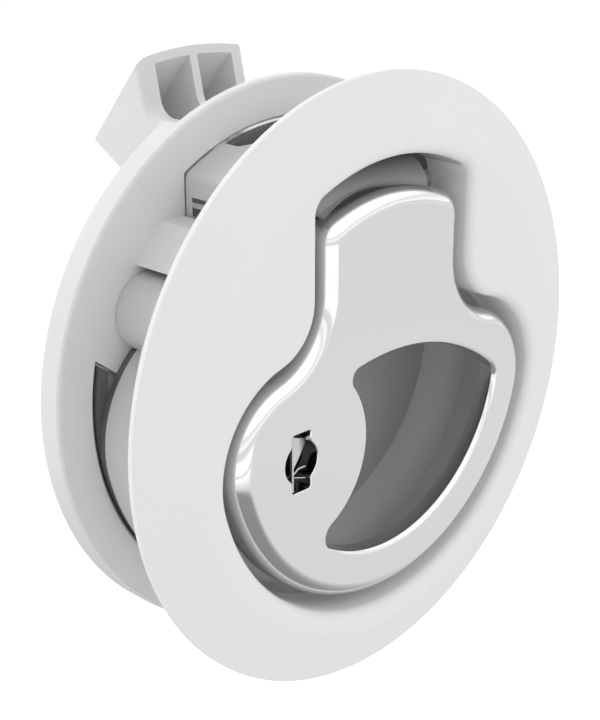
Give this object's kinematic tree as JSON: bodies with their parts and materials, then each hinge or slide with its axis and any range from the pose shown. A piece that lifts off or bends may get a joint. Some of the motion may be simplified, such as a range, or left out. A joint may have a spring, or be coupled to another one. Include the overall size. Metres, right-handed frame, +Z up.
{
  "type": "push-to-close latch",
  "caption": "Round flush push-to-close latch with a chrome finger pull, a key lock in the pull, a clamping ring behind the panel and a ramped sprung pawl.",
  "frame": {"origin": "on the latch axis, in the plane of the bezel's rear face that seats on the panel", "axes": "+Y into the panel, away from the user; +Z up towards the pawl; +X to the right seen from the front"},
  "size_m": [0.062, 0.037, 0.062],
  "materials": {
    "white_plastic": "textured",
    "light_plastic": "satin",
    "dark_plastic": "satin",
    "chrome": "polished",
    "shutter_steel": "bright",
    "lock_black": "black",
    "zinc_steel": "zinc plated",
    "spring_steel": "drawn wire"
  },
  "bodies": {
    "frame": {"housing": "white_plastic", "mounting_ring": "light_plastic", "ring_screws": "zinc_steel", "rear_housing": "dark_plastic", "rear_cover": "dark_plastic", "cover_screws": "zinc_steel", "hinge_pin": "zinc_steel", "return_spring": "spring_steel", "spring_guide": "zinc_steel", "pawl_spring": "spring_steel"},
    "pull": {"handle": "chrome", "lock_barrel": "lock_black", "barrel_clip": "zinc_steel"},
    "slide": {"pawl": "light_plastic"},
    "plug": {"lock_plug": "lock_black", "lock_wafer_1": "lock_black", "lock_wafer_2": "lock_black", "lock_wafer_3": "lock_black", "lock_wafer_4": "lock_black", "lock_wafer_5": "lock_black", "lock_cam": "zinc_steel", "cam_screw": "zinc_steel"},
    "shutter": {"dust_shutter": "shutter_steel"}
  },
  "joints": [
    {"name": "handle_pull", "type": "hinge", "parent": "frame", "child": "pull", "pos_m": [0, 0.0032, 0.0186], "axis": [-1, 0, 0], "range_deg": [0, 32], "stiffness_Nm_per_rad": 0.12, "springref_deg": -31.51, "deforming": ["return_spring"]},
    {"name": "pawl_slide", "type": "slide", "parent": "frame", "child": "slide", "axis": [0, 0, -1], "range_m": [0, 0.0063], "deforming": ["pawl_spring"]},
    {"name": "plug_turn", "type": "hinge", "parent": "pull", "child": "plug", "pos_m": [-0.0131, 0, -0.0033], "axis": [0, 1, 0], "range_deg": [0, 90]},
    {"name": "shutter_swing", "type": "hinge", "parent": "pull", "child": "shutter", "pos_m": [-0.01408, -0.0027, -0.0033], "axis": [0, 0, 1], "range_deg": [0, 75], "stiffness_Nm_per_rad": 0.0002, "springref_deg": -17.19}
  ],
  "couplings": [
    {"joint": "pawl_slide", "follows": "handle_pull", "m_per_rad": 0.01128}
  ]
}
